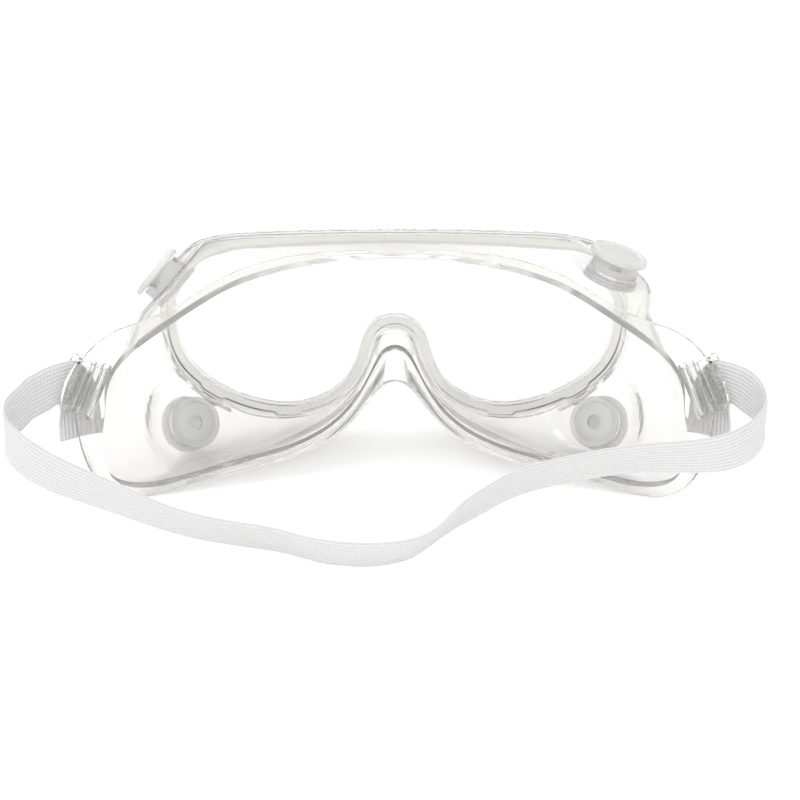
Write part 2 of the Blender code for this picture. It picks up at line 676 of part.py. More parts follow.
def main():
    clear_scene()
    parts = new_collection("splash_goggles")
    cutters = new_collection("cutters")
    clear_pvc = plain_material("clear_soft_pvc", (0.93, 0.94, 0.90), 0.12, 0.35)
    clear_lens = plain_material("clear_lens", (0.95, 0.97, 0.97), 0.03, 0.25)
    vent_white = plain_material("vent_white", (0.88, 0.89, 0.88), 0.35, 0.9)
    clip_clear = plain_material("clip_clear", (0.92, 0.93, 0.92), 0.06, 0.4)
    band_white = plain_material("band_white", (0.86, 0.86, 0.85), 0.9)
    make_frame_body(parts, cutters, clear_pvc)
    make_lens(parts, cutters, clear_lens)
    for side, middle, axis in VENTS:
        make_vent(side, middle, axis, parts, cutters, vent_white)
    make_clip(1, "right", parts, cutters, clip_clear)
    make_clip(-1, "left", parts, cutters, clip_clear)
    make_headband(parts, band_white)
    shift = Matrix.Translation(ORIGIN_SHIFT)
    for made in [*parts.objects, *cutters.objects]:
        made.matrix_world = shift @ made.matrix_world


LENS_RAIL = closed_rail([row[0] for row in HALF_RAILS]) * MM
FOLD_RAIL = closed_rail([row[1] for row in HALF_RAILS]) * MM
EDGE_RAIL = closed_rail([row[2] for row in HALF_RAILS]) * MM
BULGE_RAIL = closed_rail([(0, row[3]) for row in HALF_RAILS])[:, 1:] * MM

main()
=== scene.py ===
import math

import bmesh
import bpy
import numpy as np
from mathutils import Matrix, Vector


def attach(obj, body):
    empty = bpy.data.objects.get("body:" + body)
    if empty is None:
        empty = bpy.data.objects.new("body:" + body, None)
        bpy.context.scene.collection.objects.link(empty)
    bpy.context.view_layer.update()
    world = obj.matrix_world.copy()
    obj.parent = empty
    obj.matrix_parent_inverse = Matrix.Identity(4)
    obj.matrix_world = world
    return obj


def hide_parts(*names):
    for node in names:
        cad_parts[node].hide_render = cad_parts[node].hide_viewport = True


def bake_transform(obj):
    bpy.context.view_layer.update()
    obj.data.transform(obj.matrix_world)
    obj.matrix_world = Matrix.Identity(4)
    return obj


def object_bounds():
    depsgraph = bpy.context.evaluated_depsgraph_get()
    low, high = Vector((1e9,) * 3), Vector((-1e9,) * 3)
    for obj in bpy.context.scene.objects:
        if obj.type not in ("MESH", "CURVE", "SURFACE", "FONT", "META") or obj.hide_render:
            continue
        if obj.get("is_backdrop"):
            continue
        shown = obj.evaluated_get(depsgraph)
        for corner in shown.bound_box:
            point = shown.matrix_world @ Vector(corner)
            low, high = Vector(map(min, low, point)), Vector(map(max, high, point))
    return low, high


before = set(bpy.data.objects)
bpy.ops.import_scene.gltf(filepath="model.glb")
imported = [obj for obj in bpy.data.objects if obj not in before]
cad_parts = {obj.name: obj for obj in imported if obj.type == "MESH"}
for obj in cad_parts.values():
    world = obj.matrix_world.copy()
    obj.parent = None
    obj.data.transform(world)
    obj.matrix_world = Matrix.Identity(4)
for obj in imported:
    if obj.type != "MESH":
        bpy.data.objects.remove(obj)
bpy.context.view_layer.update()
MM = 0.001
SHIFT = Vector((2.25 * MM, 25.95 * MM, 0.0))

# Camera: on the wearer's side of the goggles, about 20 degrees above the table and 0.55 m away.
# A longish lens keeps the two temple ears nearly the same size.
target = SHIFT + Vector((1.5, -4.8, 21.9)) * MM
spot = SHIFT + Vector((0.0, -516.8, 223.1)) * MM
camera_data = bpy.data.cameras.new("camera")
camera_data.lens = 83.25
camera_data.sensor_width = 36.0
camera_data.clip_start = 0.02
camera_data.clip_end = 20.0
camera = bpy.data.objects.new("camera", camera_data)
camera.location = spot
camera.rotation_mode = "QUATERNION"
camera.rotation_quaternion = (target - spot).to_track_quat("-Z", "Y")
bpy.context.scene.collection.objects.link(camera)
bpy.context.scene.camera = camera

# Table and light: a pale seamless sheet under a large soft overhead box, in a pale room.
# A dark band at the horizon gives the clear mouldings their thin grey outlines, and the sheet glows a
# little so that it stays white in the shade.
bm = bmesh.new()
bmesh.ops.create_grid(bm, x_segments=1, y_segments=1, size=4.0)
table_mesh = bpy.data.meshes.new("table_sheet")
bm.to_mesh(table_mesh)
bm.free()
table = bpy.data.objects.new("table_sheet", table_mesh)
table.location = (0, 0, -0.0002)
bpy.context.scene.collection.objects.link(table)
paper = bpy.data.materials.new("table_paper")
paper.use_nodes = True
shader = paper.node_tree.nodes["Principled BSDF"]
shader.inputs["Base Color"].default_value = (0.93, 0.93, 0.93, 1)
shader.inputs["Roughness"].default_value = 0.9
shader.inputs["Specular IOR Level"].default_value = 0.1
shader.inputs["Emission Color"].default_value = (1, 1, 1, 1)
shader.inputs["Emission Strength"].default_value = 0.24
table_mesh.materials.append(paper)
table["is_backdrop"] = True

world = bpy.data.worlds.new("pale_room")
bpy.context.scene.world = world
world.use_nodes = True
nodes, links = world.node_tree.nodes, world.node_tree.links
back = nodes["Background"]
place = nodes.new("ShaderNodeTexCoord")
split = nodes.new("ShaderNodeSeparateXYZ")
links.new(place.outputs["Generated"], split.inputs[0])
ramp = nodes.new("ShaderNodeValToRGB")
ramp.color_ramp.interpolation = "EASE"
ramp.color_ramp.elements[0].position = 0.0
ramp.color_ramp.elements[0].color = (0.16, 0.16, 0.155, 1)
ramp.color_ramp.elements[1].position = 0.62
ramp.color_ramp.elements[1].color = (1.0, 1.0, 1.0, 1)
for height, grey in ((0.38, (0.74, 0.74, 0.73, 1)), (0.13, (0.62, 0.62, 0.61, 1))):
    ramp.color_ramp.elements.new(height).color = grey
links.new(split.outputs["Z"], ramp.inputs[0])
links.new(ramp.outputs[0], back.inputs[0])
back.inputs[1].default_value = 1.10

for name, where, size, power in (
    ("left_box", (-0.7, -0.3, 0.8), 0.5, 1.6),
    ("front_box", (0.1, -1.0, 0.5), 0.7, 1.4),
    ("right_strip", (0.8, 0.2, 0.6), 0.25, 0.5),
):
    lamp_data = bpy.data.lights.new(name, "AREA")
    lamp_data.shape = "SQUARE"
    lamp_data.size = size
    lamp_data.energy = power
    lamp = bpy.data.objects.new(name, lamp_data)
    lamp.location = where
    aim = Vector((0, 0, 0.03)) - Vector(where)
    lamp.rotation_mode = "QUATERNION"
    lamp.rotation_quaternion = aim.to_track_quat("-Z", "Y")
    bpy.context.scene.collection.objects.link(lamp)
bpy.context.scene.view_settings.view_transform = "Standard"
bpy.context.scene.view_settings.exposure = 0.0
bpy.context.scene.cycles.max_bounces = 24
bpy.context.scene.cycles.transmission_bounces = 24
bpy.context.scene.cycles.glossy_bounces = 8
bpy.context.scene.cycles.transparent_max_bounces = 16
bpy.context.scene.cycles.caustics_reflective = True
bpy.context.scene.cycles.caustics_refractive = True

# Soft hood: one clear flexible PVC moulding. A thick rim grips the lens in a groove, a thin wall runs
# back to a face flange with a nose arch, and each temple ends in an ear pierced for a strap clip.
HALF_RAILS = (
    ((0, 63.8), (0, -5, 65.6), (0, -5.5, 68.2), 0),
    ((20, 63.8), (18, -5.3, 64.6), (19, -5.8, 68), 0),
    ((38, 63.8), (34, -8.3, 62.4), (34, -8.5, 66.8), 0),
    ((50, 63.7), (48, -13, 58.8), (49, -13.5, 62.8), 0.5),
    ((61, 61.3), (60, -19, 52.8), (60, -18.5, 57), 2),
    ((67.6, 53.5), (70, -24.5, 47.2), (70.5, -23.8, 53.3), 3),
    ((69.8, 43), (77, -28, 42.4), (80, -29.3, 51.6), 2),
    ((69.2, 32.5), (81.3, -30.8, 36), (88.6, -35.2, 43.6), 1),
    ((65.8, 24), (82, -31.4, 27), (89.4, -35.8, 29), 1),
    ((60, 17.6), (84, -33.6, 18), (87.8, -36.3, 16.5), 3.5),
    ((52, 12), (81, -31.2, 8.5), (83.8, -33.3, 6), 7),
    ((42, 7.9), (73.5, -25.5, 4.2), (75.5, -26.5, -0.6), 5),
    ((31, 6.6), (60, -20.3, 5.2), (60, -22, 2.3), 1.5),
    ((21.5, 9.2), (44, -14.5, 7.6), (44, -16.5, 4.6), 0.5),
    ((13.8, 14.6), (29, -8.3, 9.8), (29.5, -11.5, 6.8), 0),
    ((9.9, 21.2), (18, -2.2, 14.2), (19, -6.8, 10.6), 0),
    ((7.6, 27.8), (9.5, 5, 22.6), (11.3, -3.5, 17.2), 0),
    ((6.2, 33), (5.6, 8.8, 30), (6.2, -0.7, 23.8), 0),
    ((3.2, 35.6), (3.9, 10, 33.9), (2.8, 0.8, 26.2), 0),
    ((0, 35.8), (0, 10.5, 34.8), (0, 1, 26.4), 0),
)
VENTS = (
    ("upper_left", (-65.5, 6.0, 54.1), (-0.75, 0.10, 0.62)),
    ("upper_right", (63.8, 3.9, 57.9), (0.31, -0.05, 0.95)),
    ("lower_left", (-61.2, 5.0, 10.67), (-0.48, 0.78, -0.40)),
    ("lower_right", (61.2, 5.0, 10.67), (0.48, 0.78, -0.40)),
)
LENS_FRONT_Y = 25.0 * MM
LENS_BEND = 300.0 * MM
LENS_HALF = 1.0 * MM
WALL = 1.6 * MM
RIM_OVERLAP = 3.2 * MM
RIM_OUTSIDE = 1.7 * MM
RIM_HALF = 2.8 * MM
WALL_FLOOR = 2.0 * MM
VENT_SEAT_BLEND = 19.0 * MM
VENT_SEAT_SLOPE = 9.6 * MM
VENT_SEAT_REACH = 9.0 * MM
VENT_HOLE = 7.3 * MM
SLOT_LENGTH = 16.4 * MM
SLOT_THROUGH = 12.0 * MM
LENS_PLAY = 0.3 * MM
TAB_REACH = 0.9 * MM
TAB_PLAY = 0.1 * MM
RAIL_TILT = math.radians(26.5)
PLATE_TURN = math.radians(31.0)
RAIL_MIDDLE = Vector((85.45, -32.45, 36.1)) * MM


def closed_rail(points):
    left = [(-p[0],) + tuple(p[1:]) for p in points[-2:0:-1]]
    return np.array(list(points) + left, float)


def rail_at(rail, stations):
    count = len(rail)
    step = np.linalg.norm(np.roll(rail, -1, axis=0) - rail, axis=1) + 1e-9
    slope = (np.roll(rail, -1, axis=0) - rail) / step[:, None]
    before = np.roll(step, 1)
    tangent = slope * before[:, None] + np.roll(slope, 1, axis=0) * step[:, None]
    tangent /= (before + step)[:, None]
    first = np.floor(stations).astype(int) % count
    second = (first + 1) % count
    f = (stations - np.floor(stations))[:, None]
    h = step[first][:, None]
    start = rail[first] * (2 * f**3 - 3 * f**2 + 1) + tangent[first] * h * (f**3 - 2 * f**2 + f)
    return start + rail[second] * (3 * f**2 - 2 * f**3) + tangent[second] * h * (f**3 - f**2)


def unit(vectors):
    return vectors / np.linalg.norm(vectors, axis=-1, keepdims=True)


def soften(line, times):
    """Smooths a closed line of points a little, so that no station shows as a corner."""
    for _ in range(times):
        line = (np.roll(line, 1, axis=0) + 2 * line + np.roll(line, -1, axis=0)) / 4
    return line


lens_rail = closed_rail([row[0] for row in HALF_RAILS]) * MM
fold_rail = closed_rail([row[1] for row in HALF_RAILS]) * MM
edge_rail = closed_rail([row[2] for row in HALF_RAILS]) * MM
bulge_rail = closed_rail([(0, row[3]) for row in HALF_RAILS])[:, 1:] * MM
fine = np.linspace(0, len(lens_rail), 40 * len(lens_rail) + 1)
walk = np.linalg.norm(np.diff(rail_at(lens_rail, fine), axis=0), axis=1)
walk = walk + np.linalg.norm(np.diff(rail_at(fold_rail, fine), axis=0), axis=1)
walk = np.concatenate([[0], np.cumsum(walk)])
STATIONS = 300
stations = np.interp(np.arange(STATIONS) * walk[-1] / STATIONS, walk, fine)
lens_line = soften(rail_at(lens_rail, stations), 12)
run = unit(np.roll(lens_line, -1, axis=0) - np.roll(lens_line, 1, axis=0))
outward = soften(np.stack([-run[:, 1], np.zeros(STATIONS), run[:, 0]], axis=1), 6)
outward = unit(outward)
lens_flat = np.stack([lens_line[:, 0], np.zeros(STATIONS), lens_line[:, 1]], axis=1)
fold_line = soften(rail_at(fold_rail, stations), 12)
edge_line = soften(rail_at(edge_rail, stations), 12)
bulge_line = soften(rail_at(bulge_rail, stations), 12)


def rim(out, forward):
    moved = lens_flat + outward * out
    moved[:, 1] = LENS_FRONT_Y - moved[:, 0] ** 2 / (2 * LENS_BEND) + forward
    return moved


wall_start = rim(0.2 * MM, -3.4 * MM)
depth = (wall_start[:, 1] - fold_line[:, 1])[:, None]
first = wall_start + np.array([0.0, -1.0, 0.0]) * 0.30 * depth + outward * 1.2 * bulge_line
second = wall_start + (fold_line - wall_start) * 0.62 + outward * 1.5 * bulge_line
WALL_STEPS = 28
inner = []
for v in np.linspace(0, 1, WALL_STEPS + 1):
    u = 1 - v
    inner.append(u**3 * wall_start + 3 * u * u * v * first + 3 * u * v * v * second + v**3 * fold_line)
inner = np.array(inner)
for _, spot, way in VENTS:
    way = unit(np.array(way))
    apart = inner - np.array(spot) * MM
    height = apart @ way
    radius = np.linalg.norm(apart - height[..., None] * way, axis=-1)
    share = np.clip((VENT_SEAT_BLEND - radius) / VENT_SEAT_SLOPE, 0, 1)
    share = share**2 * (3 - 2 * share) * (np.abs(height) < VENT_SEAT_REACH)
    inner[1:-1] -= (height * share)[1:-1, :, None] * way
inner[1:-1, :, 2] = np.maximum(inner[1:-1, :, 2], WALL_FLOOR)
along = np.roll(inner, -1, axis=1) - np.roll(inner, 1, axis=1)
normal = unit(np.cross(along, np.gradient(inner, axis=0)))
normal *= np.sign((normal * outward).sum(axis=-1, keepdims=True))
outer = inner + normal * WALL
along = np.roll(fold_line, -1, axis=0) - np.roll(fold_line, 1, axis=0)
forward = unit(np.cross(along, edge_line - fold_line))
forward *= np.sign(forward[:, 1:2])
forward = unit(soften(forward, 6))
root = fold_line + normal[-1] * WALL + forward * WALL


def rounded(rails, corners):
    """Replaces the rails at the given numbers with six that turn the corner on a small radius."""
    out = []
    for i, rail in enumerate(rails):
        if i not in corners:
            out.append(rail)
            continue
        reach = corners[i]
        ahead = rails[(i + 1) % len(rails)] - rail
        behind = rails[i - 1] - rail
        far = np.linalg.norm(ahead, axis=1, keepdims=True)
        near = np.linalg.norm(behind, axis=1, keepdims=True)
        a = rail + behind * np.minimum(reach / near, 0.45)
        b = rail + ahead * np.minimum(reach / far, 0.45)
        for t in (0.0, 0.2, 0.4, 0.6, 0.8, 1.0):
            out.append(a * (1 - t) ** 2 + rail * 2 * t * (1 - t) + b * t**2)
    return out


groove = LENS_HALF + LENS_PLAY
tab_share = np.zeros(STATIONS)
for middle in (9.4, 11.8, 2 * (len(HALF_RAILS) - 1) - 11.8, 2 * (len(HALF_RAILS) - 1) - 9.4):
    apart = np.abs(stations - middle)
    tab_share = np.maximum(tab_share, np.clip((0.42 - apart) / 0.08, 0, 1))
pocket = LENS_PLAY + (TAB_REACH + TAB_PLAY) * tab_share[:, None]
section = [
    rim(-RIM_OVERLAP, groove),
    rim(-RIM_OVERLAP, RIM_HALF),
    rim(RIM_OUTSIDE, RIM_HALF),
    rim(RIM_OUTSIDE, -2.6 * MM),
    *outer[1:-1],
    root,
    edge_line + forward * 1.1 * MM,
    edge_line,
    *inner[:0:-1],
    wall_start,
    rim(-RIM_OVERLAP, -RIM_HALF),
    rim(-RIM_OVERLAP, -groove),
    rim(pocket, -groove),
    rim(pocket, groove),
]
last = 4 + WALL_STEPS - 1
turned = {0: 0.2 * MM, 1: 0.9 * MM, 2: 0.9 * MM, 3: 0.8 * MM}
turned.update({last: 1.2 * MM, last + 1: 0.5 * MM, last + 2: 0.5 * MM, last + 3: 0.8 * MM})
turned.update({len(section) - 5: 0.7 * MM, len(section) - 4: 0.8 * MM, len(section) - 3: 0.2 * MM})
section = rounded(section, turned)
bm = bmesh.new()
rings = [[bm.verts.new(Vector(p) + SHIFT) for p in rail] for rail in section]
for here, there in zip(rings, rings[1:] + rings[:1]):
    for i in range(STATIONS):
        bm.faces.new((here[i - 1], here[i], there[i], there[i - 1]))
bmesh.ops.recalc_face_normals(bm, faces=bm.faces)
hood_mesh = bpy.data.meshes.new("soft_hood")
bm.to_mesh(hood_mesh)
bm.free()
hood_mesh.shade_smooth()
hood = bpy.data.objects.new("soft_hood", hood_mesh)
bpy.context.scene.collection.objects.link(hood)


def frame_at(origin, x_axis, y_axis, z_axis):
    turn = Matrix((x_axis, y_axis, z_axis)).transposed().to_4x4()
    return Matrix.Translation(Vector(origin) + SHIFT) @ turn


def clip_place(side):
    flat = Vector((math.cos(PLATE_TURN), -math.sin(PLATE_TURN), 0))
    up = Vector((0, 0, 1))
    rail = up * math.cos(RAIL_TILT) - flat * math.sin(RAIL_TILT)
    out = up * math.sin(RAIL_TILT) + flat * math.cos(RAIL_TILT)
    mirror = Vector((side, 1, 1))
    out, rail = out * mirror, rail * mirror
    return frame_at(RAIL_MIDDLE * mirror, out, rail.cross(out), rail)


def vent_place(middle, way):
    z_axis = Vector(way).normalized()
    x_axis = Vector((0, 0, 1)).cross(z_axis).normalized()
    return frame_at(Vector(middle) * MM, x_axis, z_axis.cross(x_axis), z_axis)


def cut(target, bm):
    """Takes the bmesh's solid out of the target and keeps only the result."""
    bmesh.ops.recalc_face_normals(bm, faces=bm.faces)
    mesh = bpy.data.meshes.new("cutter")
    bm.to_mesh(mesh)
    bm.free()
    cutter = bpy.data.objects.new("cutter", mesh)
    bpy.context.scene.collection.objects.link(cutter)
    step = target.modifiers.new("cut", "BOOLEAN")
    step.solver = "EXACT"
    step.object = cutter
    graph = bpy.context.evaluated_depsgraph_get()
    made = bpy.data.meshes.new_from_object(target.evaluated_get(graph))
    target.modifiers.clear()
    target.data = made
    bpy.data.objects.remove(cutter)


for _, spot, way in VENTS:
    bm = bmesh.new()
    bmesh.ops.create_cone(bm, cap_ends=True, segments=96, radius1=VENT_HOLE, radius2=VENT_HOLE,
                          depth=12 * MM, matrix=vent_place(spot, way))
    cut(hood, bm)
for side in (1, -1):
    for low, high in ((-3.5, -1.1), (1.1, 13.1)):
        bm = bmesh.new()
        at = Matrix.Translation(((low + high) / 2 * MM, 0, 0))
        size = Matrix.Diagonal(((high - low) * MM, SLOT_THROUGH, SLOT_LENGTH, 1))
        bmesh.ops.create_cube(bm, size=1.0, matrix=clip_place(side) @ at @ size)
        through = [e for e in bm.edges if abs(e.calc_length() - SLOT_THROUGH) < 1e-6]
        bmesh.ops.bevel(bm, geom=through, offset=0.5 * MM, segments=3, profile=0.5,
                        affect="EDGES", material=-1)
        cut(hood, bm)
bm = bmesh.new()
below = Matrix.Translation((0, 0, -0.00998)) @ Matrix.Diagonal((0.4, 0.4, 0.02, 1))
bmesh.ops.create_cube(bm, size=1.0, matrix=below)
cut(hood, bm)
hood.data.set_sharp_from_angle(angle=math.radians(35))

pvc = bpy.data.materials.new("clear_soft_pvc")
pvc.use_nodes = True
nodes, links = pvc.node_tree.nodes, pvc.node_tree.links
shader = nodes["Principled BSDF"]
shader.inputs["Base Color"].default_value = (0.975, 0.968, 0.945, 1)
shader.inputs["Roughness"].default_value = 0.05
shader.inputs["IOR"].default_value = 1.42
shader.inputs["Transmission Weight"].default_value = 0.87
place = nodes.new("ShaderNodeTexCoord")
noise = nodes.new("ShaderNodeTexNoise")
noise.inputs["Scale"].default_value = 55.0
noise.inputs["Detail"].default_value = 2.0
links.new(place.outputs["Object"], noise.inputs["Vector"])
bump = nodes.new("ShaderNodeBump")
bump.inputs["Strength"].default_value = 0.05
bump.inputs["Distance"].default_value = 0.0012
links.new(noise.outputs["Fac"], bump.inputs["Height"])
links.new(bump.outputs["Normal"], shader.inputs["Normal"])
hood.data.materials.clear()
hood.data.materials.append(pvc)
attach(hood, "goggles")
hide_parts("frame_body")

# Lens: 2 mm clear polycarbonate sheet, cut to shape with softened edges and bent into the rim's groove.
# Four small tabs on its lower edge sit in pockets of the rim.
bm = bmesh.new()
rows = []
for inset, y in ((0.35, -1.0), (0.1, -0.9), (0.0, -0.6), (0.0, 0.6), (0.1, 0.9), (0.35, 1.0)):
    moved = lens_flat + outward * (TAB_REACH * tab_share[:, None] - inset * MM)
    moved[:, 1] = LENS_FRONT_Y - moved[:, 0] ** 2 / (2 * LENS_BEND) + y * MM
    rows.append([bm.verts.new(Vector(p) + SHIFT) for p in moved])
loops = [[bm.edges.new((row[i - 1], row[i])) for i in range(STATIONS)] for row in rows]
for near, far in zip(loops, loops[1:]):
    bmesh.ops.bridge_loops(bm, edges=near + far)
for row in (rows[0], rows[-1]):
    bm.faces.new(row)
caps = [f for f in bm.faces if len(f.verts) > 4]
for step in range(-46, 47):
    everything = caps + [e for f in caps for e in f.edges] + [v for f in caps for v in f.verts]
    everything = list(dict.fromkeys(everything))
    middle_x = step * 1.5 * MM + SHIFT.x
    bmesh.ops.bisect_plane(bm, geom=everything, dist=1e-7, plane_co=(middle_x, 0, 0), plane_no=(1, 0, 0))
    caps = [f for f in bm.faces if len(f.verts) > 4]
bmesh.ops.remove_doubles(bm, verts=bm.verts, dist=0.04 * MM)
bmesh.ops.triangulate(bm, faces=[f for f in bm.faces if len(f.verts) > 4])
bmesh.ops.recalc_face_normals(bm, faces=bm.faces)
lens_mesh = bpy.data.meshes.new("clear_lens")
bm.to_mesh(lens_mesh)
bm.free()
lens_mesh.shade_smooth()
lens_mesh.set_sharp_from_angle(angle=math.radians(12))
lens = bpy.data.objects.new("clear_lens", lens_mesh)
bpy.context.scene.collection.objects.link(lens)


def speckled_roughness(material, scale, detail, low, high):
    """Lets a moulded plastic's polish wander between two roughnesses in a fine noise."""
    nodes, links = material.node_tree.nodes, material.node_tree.links
    place = nodes.new("ShaderNodeTexCoord")
    noise = nodes.new("ShaderNodeTexNoise")
    noise.inputs["Scale"].default_value = scale
    noise.inputs["Detail"].default_value = detail
    links.new(place.outputs["Object"], noise.inputs["Vector"])
    spread = nodes.new("ShaderNodeMapRange")
    spread.inputs["To Min"].default_value = low
    spread.inputs["To Max"].default_value = high
    links.new(noise.outputs["Fac"], spread.inputs["Value"])
    links.new(spread.outputs["Result"], nodes["Principled BSDF"].inputs["Roughness"])


pane = bpy.data.materials.new("clear_lens")
pane.use_nodes = True
shader = pane.node_tree.nodes["Principled BSDF"]
shader.inputs["Base Color"].default_value = (0.90, 0.905, 0.905, 1)
shader.inputs["IOR"].default_value = 1.45
shader.inputs["Transmission Weight"].default_value = 1.0
speckled_roughness(pane, 400.0, 2.0, 0.0, 0.03)
lens_mesh.materials.append(pane)
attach(lens, "goggles")
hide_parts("lens")

# Vents: milky polyethylene bodies pushed through the wall from inside, each with a small air hole and
# a notched neck, and closed by a round splash cap plugged into the neck.
milky = bpy.data.materials.new("milky_polyethylene")
milky.use_nodes = True
shader = milky.node_tree.nodes["Principled BSDF"]
shader.inputs["Base Color"].default_value = (0.99, 0.99, 0.985, 1)
shader.inputs["IOR"].default_value = 1.45
shader.inputs["Transmission Weight"].default_value = 0.5
speckled_roughness(milky, 260.0, 4.0, 0.34, 0.50)
BODY = ((7.0, 5.4), (7.0, -0.6), (7.55, -0.6), (7.8, -0.85), (7.8, -1.5), (7.5, -1.8), (6.2, -1.8),
        (5.9, -1.65), (5.6, -1.8), (2.7, -1.8), (2.2, -1.6), (2.2, -0.6), (5.6, -0.6), (5.6, 5.4))
CAP = ((0, 7.7), (5.6, 7.7), (6.0, 7.55), (6.4, 7.7), (7.9, 7.7), (8.4, 7.5), (8.6, 7.0), (8.6, 6.0),
       (8.4, 5.7), (5.1, 5.7), (5.1, 3.3), (0, 3.3))
for label, spot, way in VENTS:
    for piece, profile in (("body", BODY), ("cap", CAP)):
        bm = bmesh.new()
        line = [bm.verts.new((r * MM, 0, z * MM)) for r, z in profile]
        wire = [bm.edges.new((a, b)) for a, b in zip(line, line[1:])]
        if piece == "body":
            wire.append(bm.edges.new((line[-1], line[0])))
        bmesh.ops.spin(bm, geom=line + wire, cent=(0, 0, 0), axis=(0, 0, 1), angle=2 * math.pi,
                       steps=72, use_merge=True)
        bmesh.ops.remove_doubles(bm, verts=bm.verts, dist=1e-7)
        bmesh.ops.transform(bm, matrix=vent_place(spot, way), verts=bm.verts)
        bmesh.ops.recalc_face_normals(bm, faces=bm.faces)
        mesh = bpy.data.meshes.new(f"vent_{piece}_visual_{label}")
        bm.to_mesh(mesh)
        bm.free()
        mesh.shade_smooth()
        part = bpy.data.objects.new(f"vent_{piece}_visual_{label}", mesh)
        bpy.context.scene.collection.objects.link(part)
        if piece == "body":
            for size in ((3.2, 28, 3.6), (28, 3.2, 3.6)):
                bm = bmesh.new()
                at = vent_place(spot, way) @ Matrix.Translation((0, 0, 5.4 * MM))
                bmesh.ops.create_cube(bm, size=1.0, matrix=at @ Matrix.Diagonal((*(s * MM for s in size), 1)))
                cut(part, bm)
            part.data.name = f"vent_{piece}_visual_{label}"
        part.data.materials.clear()
        part.data.materials.append(milky)
        part.data.set_sharp_from_angle(angle=math.radians(35))
        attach(part, "goggles")
        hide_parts(f"vent_{piece}_{label}")

# Strap clips: clear moulded ladder buckles. A C-shaped hook snaps over the ear's rail, and the band
# passes under an open keeper bar outside the window.
clear_clip = bpy.data.materials.new("clear_clip")
clear_clip.use_nodes = True
shader = clear_clip.node_tree.nodes["Principled BSDF"]
shader.inputs["Base Color"].default_value = (0.96, 0.965, 0.955, 1)
shader.inputs["IOR"].default_value = 1.49
shader.inputs["Transmission Weight"].default_value = 1.0
speckled_roughness(clear_clip, 180.0, 2.0, 0.03, 0.10)
for name in ("left", "right"):
    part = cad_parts[f"strap_clip_{name}"]
    part.data.materials.clear()
    part.data.materials.append(clear_clip)
    part.data.set_sharp_from_angle(angle=math.radians(30))

# Headband: 12 mm woven elastic with lengthwise ribs, in two halves that meet behind the head. Each
# half leaves its clip, turns round beside the ear and lies along the table; its cut end hangs below the clip.
BAND_ROUTE = (
    ((-94.7, -35.8, 38.5), 3, -20),
    ((-98.0, -38.0, 37.4), 2, -8),
    ((-100.9, -40.9, 36.5), 1, 0),
    ((-102.5, -44.0, 35.5), 1, 0),
    ((-105.2, -48.6, 33.4), 0, 0),
    ((-105.0, -54.2, 30.8), 0, 0),
    ((-100.3, -58.5, 27.2), 4, 0),
    ((-93.2, -60.8, 23.4), 10, 0),
    ((-84.5, -62.0, 19.9), 18, 0),
    ((-74.5, -62.6, 15.9), 25, 0),
    ((-65.5, -63.0, 12.0), 30, 0),
    ((-54.8, -63.3, 8.4), 32, 0),
    ((-42.5, -64.0, 6.3), 32, 0),
    ((-31.5, -67.0, 5.9), 32, 0),
    ((-21.1, -73.4, 5.9), 32, 0),
    ((-10.5, -75.8, 5.8), 33, 0),
    ((-1.0, -74.8, 5.7), 35, 0),
    ((6.2, -70.7, 5.7), 36, 0),
    ((11.9, -63.6, 6.6), 34, 0),
    ((17.4, -58.4, 9.0), 30, 0),
    ((23.8, -55.2, 11.8), 28, 0),
    ((30.4, -52.8, 14.8), 30, 0),
    ((37.0, -51.6, 17.1), 30, 0),
    ((49.0, -51.0, 19.8), 30, 0),
    ((61.0, -51.6, 22.4), 30, 0),
    ((71.5, -53.0, 24.0), 28, 0),
    ((82.0, -54.8, 25.0), 20, 0),
    ((90.6, -55.4, 26.6), 12, 0),
    ((97.0, -53.6, 29.4), 5, 0),
    ((100.8, -49.0, 32.2), 0, 0),
    ((100.8, -43.2, 34.8), 0, 0),
    ((98.2, -38.2, 37.1), 2, 8),
    ((94.7, -35.8, 38.5), 3, 20),
)
BAND_WIDTH = 12.3 * MM
BAND_COLUMNS = 17


def open_curve(points, samples):
    pts = np.array(points, float)
    step = np.linalg.norm(np.diff(pts[:, :3], axis=0), axis=1)
    slope = np.diff(pts, axis=0) / step[:, None]
    inside = slope[1:] * step[:-1, None] + slope[:-1] * step[1:, None]
    inside /= (step[:-1] + step[1:])[:, None]
    tangent = np.vstack([slope[:1], inside, slope[-1:]])
    out = []
    for i in range(len(step)):
        for f in np.arange(samples) / samples:
            start = pts[i] * (2 * f**3 - 3 * f**2 + 1) + tangent[i] * step[i] * (f**3 - 2 * f**2 + f)
            out.append(start + pts[i + 1] * (3 * f**2 - 2 * f**3) + tangent[i + 1] * step[i] * (f**3 - f**2))
    return np.array(out + [pts[-1]])


def band_depth(x):
    share = min(max((5.4 * MM - x) / (3.0 * MM), 0), 1)
    return 2.1 * MM + 2.0 * MM * share**2 * (3 - 2 * share)


def band_end(side):
    across = np.linspace(0, BAND_WIDTH, BAND_COLUMNS)
    down = np.array((-math.sin(RAIL_TILT), -math.cos(RAIL_TILT)))
    turns = np.append(np.linspace(RAIL_TILT, math.radians(86), 22), [math.radians(86)] * 16)
    drops = np.append(np.linspace(0, 1.2 * MM, 22), np.linspace(1.2 * MM, 13.0 * MM, 17)[1:])
    sections = []
    for turn, drop in zip(turns - RAIL_TILT, drops):
        start = np.array((6.6 * MM, -BAND_WIDTH / 2)) + down * drop
        row = start + across[:, None] * np.array((-math.sin(turn), math.cos(turn)))
        place = clip_place(side)
        sections.append([tuple(place @ Vector((x, side * band_depth(x), z)) - SHIFT) for x, z in row])
    return np.array(sections)


